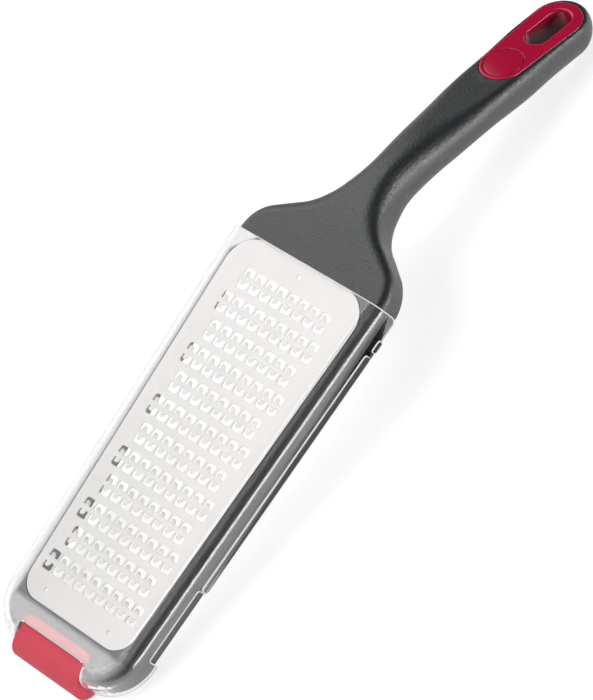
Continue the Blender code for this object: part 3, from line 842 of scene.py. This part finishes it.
# Disc: a plain round inlay, moulded of the same red plastic as the insert.
# It is pressed into the insert's recess, so that a fine groove shows all round it.
disc_edge = 0.3 * MM
disc_mesh = bmesh.new()
bmesh.ops.create_cone(
    disc_mesh, cap_ends=True, segments=96, radius1=disc_radius, radius2=disc_radius, depth=disc_thickness
)
disc_centre = (0, -insert_span, insert_proud - disc_thickness / 2)
bmesh.ops.translate(disc_mesh, vec=disc_centre, verts=disc_mesh.verts)
round_rim(disc_mesh, insert_proud, disc_edge, segments=4)
disc = new_piece("round_inlay", disc_mesh, smooth=40)
disc.data.transform(stand @ grip_end)
dress(disc, gloss)
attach(disc, "grater")
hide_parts("medallion_disc")

# Cover: a thin shell of clear plastic, moulded in one piece with a finger pad and a catch on each side.
# It is pushed over the frame from the tip, and is open toward the handle and below.
cover_gap = 0.35 * MM
cover_tip_gap = 1.2 * MM
cover_wall = 1.2 * MM
cover_headroom = 2.3 * MM
cover_open_end = 5.7 * MM
cover_tip_radius = 18.8 * MM
cover_tip_depth = 11 * MM
cover_side_depth = 9.7 * MM
cover_end_corner = 2.5 * MM
outer_edge = 7.2 * MM
inner_edge = 6 * MM
crown = 0.5 * MM
crown_half = 36 * MM
crown_spacing = 2 * MM
crown_bottom = -2.2 * MM
dip = 0.3 * MM
dip_start = -78.5 * MM
dip_length = 10 * MM
dip_spacing = 1.5 * MM
dip_lines = 10

relief_start = 19 * MM
relief_length = 31 * MM
relief_depth = 5.5 * MM
relief_corner = 1 * MM
foot_opening_half = 18.6 * MM
foot_opening_inset = 4.8 * MM
foot_opening_corner = 1 * MM
pad_margin = 0.3 * MM
pad_edge = 0.3 * MM
pads = (
    # Place after the relief, length, height, corner, and how far it stands out: finger pad, then catch
    (1 * MM, 104 * MM, 3.2 * MM, 1 * MM, 0.5 * MM),
    (107.8 * MM, 4.5 * MM, 1.6 * MM, 0.6 * MM, 1 * MM),
)
white_line = 0.45 * MM
far_below = -30 * MM
far_aside = 60 * MM

front = tip_y - cover_tip_gap
open_end = blade_end + cover_open_end
cover_top = cover_headroom + cover_wall


def ease(value):
    """A smooth step from 0 to 1."""
    value = min(max(value, 0), 1)
    return value**2 * (3 - 2 * value)


def cover_block(grow, low, high, edge):
    """The block inside or outside the cover's wall, its top edge rounded."""
    margin = cover_gap + grow
    corners = mirrored(half_width(front) + margin, front - grow, half_width(open_end) + margin, open_end)
    tip_corner = cover_tip_radius + grow
    block = rounded_plate(corners, (tip_corner, 0, 0, tip_corner), low, high, segments=24)
    round_rim(block, high, edge, segments=10, belongs=lambda middle: middle.y < open_end - same_level)
    # The top is slightly crowned, and dips toward the opening for the foot
    count = round(2 * crown_half / crown_spacing) + 1
    planes = [((i * crown_spacing - crown_half, 0, 0), (1, 0, 0)) for i in range(count)]
    planes += [((0, dip_start - i * dip_spacing, 0), (0, 1, 0)) for i in range(dip_lines)]
    for place, normal in planes:
        geometry = block.verts[:] + block.edges[:] + block.faces[:]
        bmesh.ops.bisect_plane(block, geom=geometry, dist=same_point, plane_co=place, plane_no=normal)
    for vert in block.verts:
        lift = min(max((vert.co.z - crown_bottom) / (high - crown_bottom), 0), 1)
        along = ease((dip_start - vert.co.y) / dip_length)
        aside = ease((abs(vert.co.x) - foot_opening_half) / dip_length)
        vert.co.z -= lift * (dip * along * (1 - aside) + crown * (vert.co.x / crown_half) ** 2)
    return block


shell = cover_block(cover_wall, -cover_tip_depth, cover_top, outer_edge)
cover = new_piece("cover_shell", shell, smooth=40)
cut(cover, cover_block(0, far_below, cover_headroom, inner_edge))

# The long sides are cut higher than the tip, most of all next to the tip
relief_low = tip_y + relief_start
relief_high = relief_low + relief_length
past_end = blade_end + 20 * MM
profile = (
    (past_end, over_all),
    (blade_end, over_all),
    (blade_end, -cover_side_depth),
    (relief_high, -cover_side_depth),
    (relief_high, -relief_depth),
    (relief_low, -relief_depth),
    (relief_low, under_all),
    (past_end, under_all),
)
radii = (0, 0, cover_end_corner, relief_corner, relief_corner, relief_corner, 0, 0)
cut(cover, rounded_plate(profile, radii, -far_aside, far_aside, segments=6), side_view)
before_front = front - 4 * MM
corners = mirrored(foot_opening_half, before_front, foot_opening_half, tip_y + foot_opening_inset)
radii = (0, foot_opening_corner, foot_opening_corner, 0)
cut(cover, rounded_plate(corners, radii, far_below, over_all))

outside = Matrix.Translation((half_width(0) + cover_gap + cover_wall, 0, 0))
along_side = outside @ Matrix.Rotation(-math.atan(frame_slope), 4, "Z") @ side_view
pad_low = pad_margin - cover_side_depth
for side in (1, -1):
    for start, length, height, corner, proud in pads:
        near, far = relief_high + start, relief_high + start + length
        corners = ((near, pad_low + height), (near, pad_low), (far, pad_low), (far, pad_low + height))
        pad = rounded_plate(corners, [corner] * 4, -cover_wall / 2, proud, segments=5)
        round_rim(pad, proud, pad_edge, segments=3)
        pad.transform(along_side)
        if side < 0:
            pad.transform(Matrix.Scale(-1, 4, (1, 0, 0)))
            bmesh.ops.recalc_face_normals(pad, faces=pad.faces)
        cut(cover, pad, operation="UNION")
cover.data.transform(stand)
soften(cover, white_line, segments=2, sharpest=60, material=1, clamp=False)

# Clear SAN, moulded: glassy, with white lines on its edges. Where it is seen edge-on, its wall looks greyer.
# A pale veil is painted on its upward faces at its tip, along its left border and in the left corner of its
# open end.
border_lean = 0.038
flow_ripple = 11 * MM
clear, shader = new_material("clear SAN, moulded")
shader.inputs["IOR"].default_value = 1.57
shader.inputs["Specular IOR Level"].default_value = 0.8
place = add_node(clear, "TexCoord").outputs["Object"]
own = add_node(
    clear,
    "Mapping",
    {"Vector": place, "Location": stand.to_translation(), "Rotation": stand.to_euler()},
    vector_type="TEXTURE",
)
split = add_node(clear, "SeparateXYZ", {"Vector": own.outputs[0]})
along_border = {0: split.outputs["Y"], 1: border_lean, 2: split.outputs["X"]}
border = add_node(clear, "Math", along_border, operation="MULTIPLY_ADD")
to_corner = {0: split.outputs["Y"], 1: split.outputs["X"]}
diagonal = add_node(clear, "Math", to_corner, operation="SUBTRACT")
# The veil is mostly a painted reflection of the lamps and partly the moulding's flow haze; it fades toward
# the right
painted_veil = None
for value, start, end, strength in (
    (split.outputs["Y"], -79 * MM, -82 * MM, 0.28),
    (border.outputs[0], -30 * MM, -34 * MM, 0.75),
    (diagonal.outputs[0], 103.5 * MM, 106 * MM, 0.7),
):
    ramp = {"Value": value, "From Min": start, "From Max": end, "To Max": strength}
    part = add_node(clear, "MapRange", ramp, interpolation_type="SMOOTHSTEP")
    if painted_veil is not None:
        part = add_node(clear, "Math", {0: painted_veil.outputs[0], 1: part.outputs[0]}, operation="MAXIMUM")
    painted_veil = part
ramp = {"Value": split.outputs["X"], "From Min": 36 * MM, "From Max": 24 * MM}
not_right = add_node(clear, "MapRange", ramp, interpolation_type="SMOOTHSTEP")
shape = add_node(clear, "NewGeometry")
facing = add_node(clear, "SeparateXYZ", {"Vector": shape.outputs["Normal"]})
on_top = add_node(clear, "MapRange", {"Value": facing.outputs["Z"], "From Min": 0.3, "From Max": 0.7})
for part in (not_right, on_top):
    painted_veil = add_node(clear, "Math", {0: painted_veil.outputs[0], 1: part.outputs[0]}, operation="MULTIPLY")
glassy = add_node(clear, "Math", {0: 1, 1: painted_veil.outputs[0]}, operation="SUBTRACT")
ripple = add_node(clear, "TexNoise", {"Vector": place, "Scale": 1 / flow_ripple, "Detail": 1})
haze = add_node(clear, "MapRange", {"Value": ripple.outputs["Fac"], "To Min": 0, "To Max": 0.02})
bump = add_node(clear, "Bump", {"Height": ripple.outputs["Fac"], "Strength": 0.02, "Distance": 0.1 * MM})
# Seen edge-on, the wall is painted grey, standing in for the dark lines that a clear wall shows there
edge_on = add_node(clear, "LayerWeight", {"Blend": 0.5})
grey = add_node(clear, "MapRange", {"Value": edge_on.outputs["Facing"], "From Min": 0.55, "From Max": 1})
colours = {0: grey.outputs[0], 6: linear("#F8F8F8"), 7: linear("#868A8A")}
tone = add_node(clear, "Mix", colours, data_type="RGBA")
finish = {"Base Color": tone.outputs[2], "Roughness": haze.outputs[0], "Normal": bump.outputs[0]}
connect(clear, shader, finish)
connect(clear, shader, {"Transmission Weight": glassy.outputs[0]})
# Shadow rays pass straight through, so that the lamps light what lies under the cover
path = add_node(clear, "LightPath")
open_way = add_node(clear, "BsdfTransparent")
ways = {0: path.outputs["Is Shadow Ray"], 1: shader.outputs[0], 2: open_way.outputs[0]}
let_light_in = add_node(clear, "MixShader", ways)
connect(clear, clear.node_tree.nodes["Material Output"], {"Surface": let_light_in.outputs[0]})

# The cover's cut edges: the same plastic, matt as the mould leaves it, so that they catch the light as white
# lines. Its grain of 0.1 mm is drawn 2 mm coarse, because finer grain would not show.
edge_grain = 2 * MM
matt_edge, shader = new_material("clear SAN, matt edges")
shader.inputs["IOR"].default_value = 1.57
shader.inputs["Base Color"].default_value = linear("#FFFFFF")
shader.inputs["Transmission Weight"].default_value = 0.1
place = add_node(matt_edge, "TexCoord").outputs["Object"]
grain = add_node(matt_edge, "TexNoise", {"Vector": place, "Scale": 1 / edge_grain, "Detail": 2})
matt = add_node(matt_edge, "MapRange", {"Value": grain.outputs["Fac"], "To Min": 0.2, "To Max": 0.45})
connect(matt_edge, shader, {"Roughness": matt.outputs[0]})
dress(cover, clear, matt_edge)
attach(cover, "cover")
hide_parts("clear_cover")
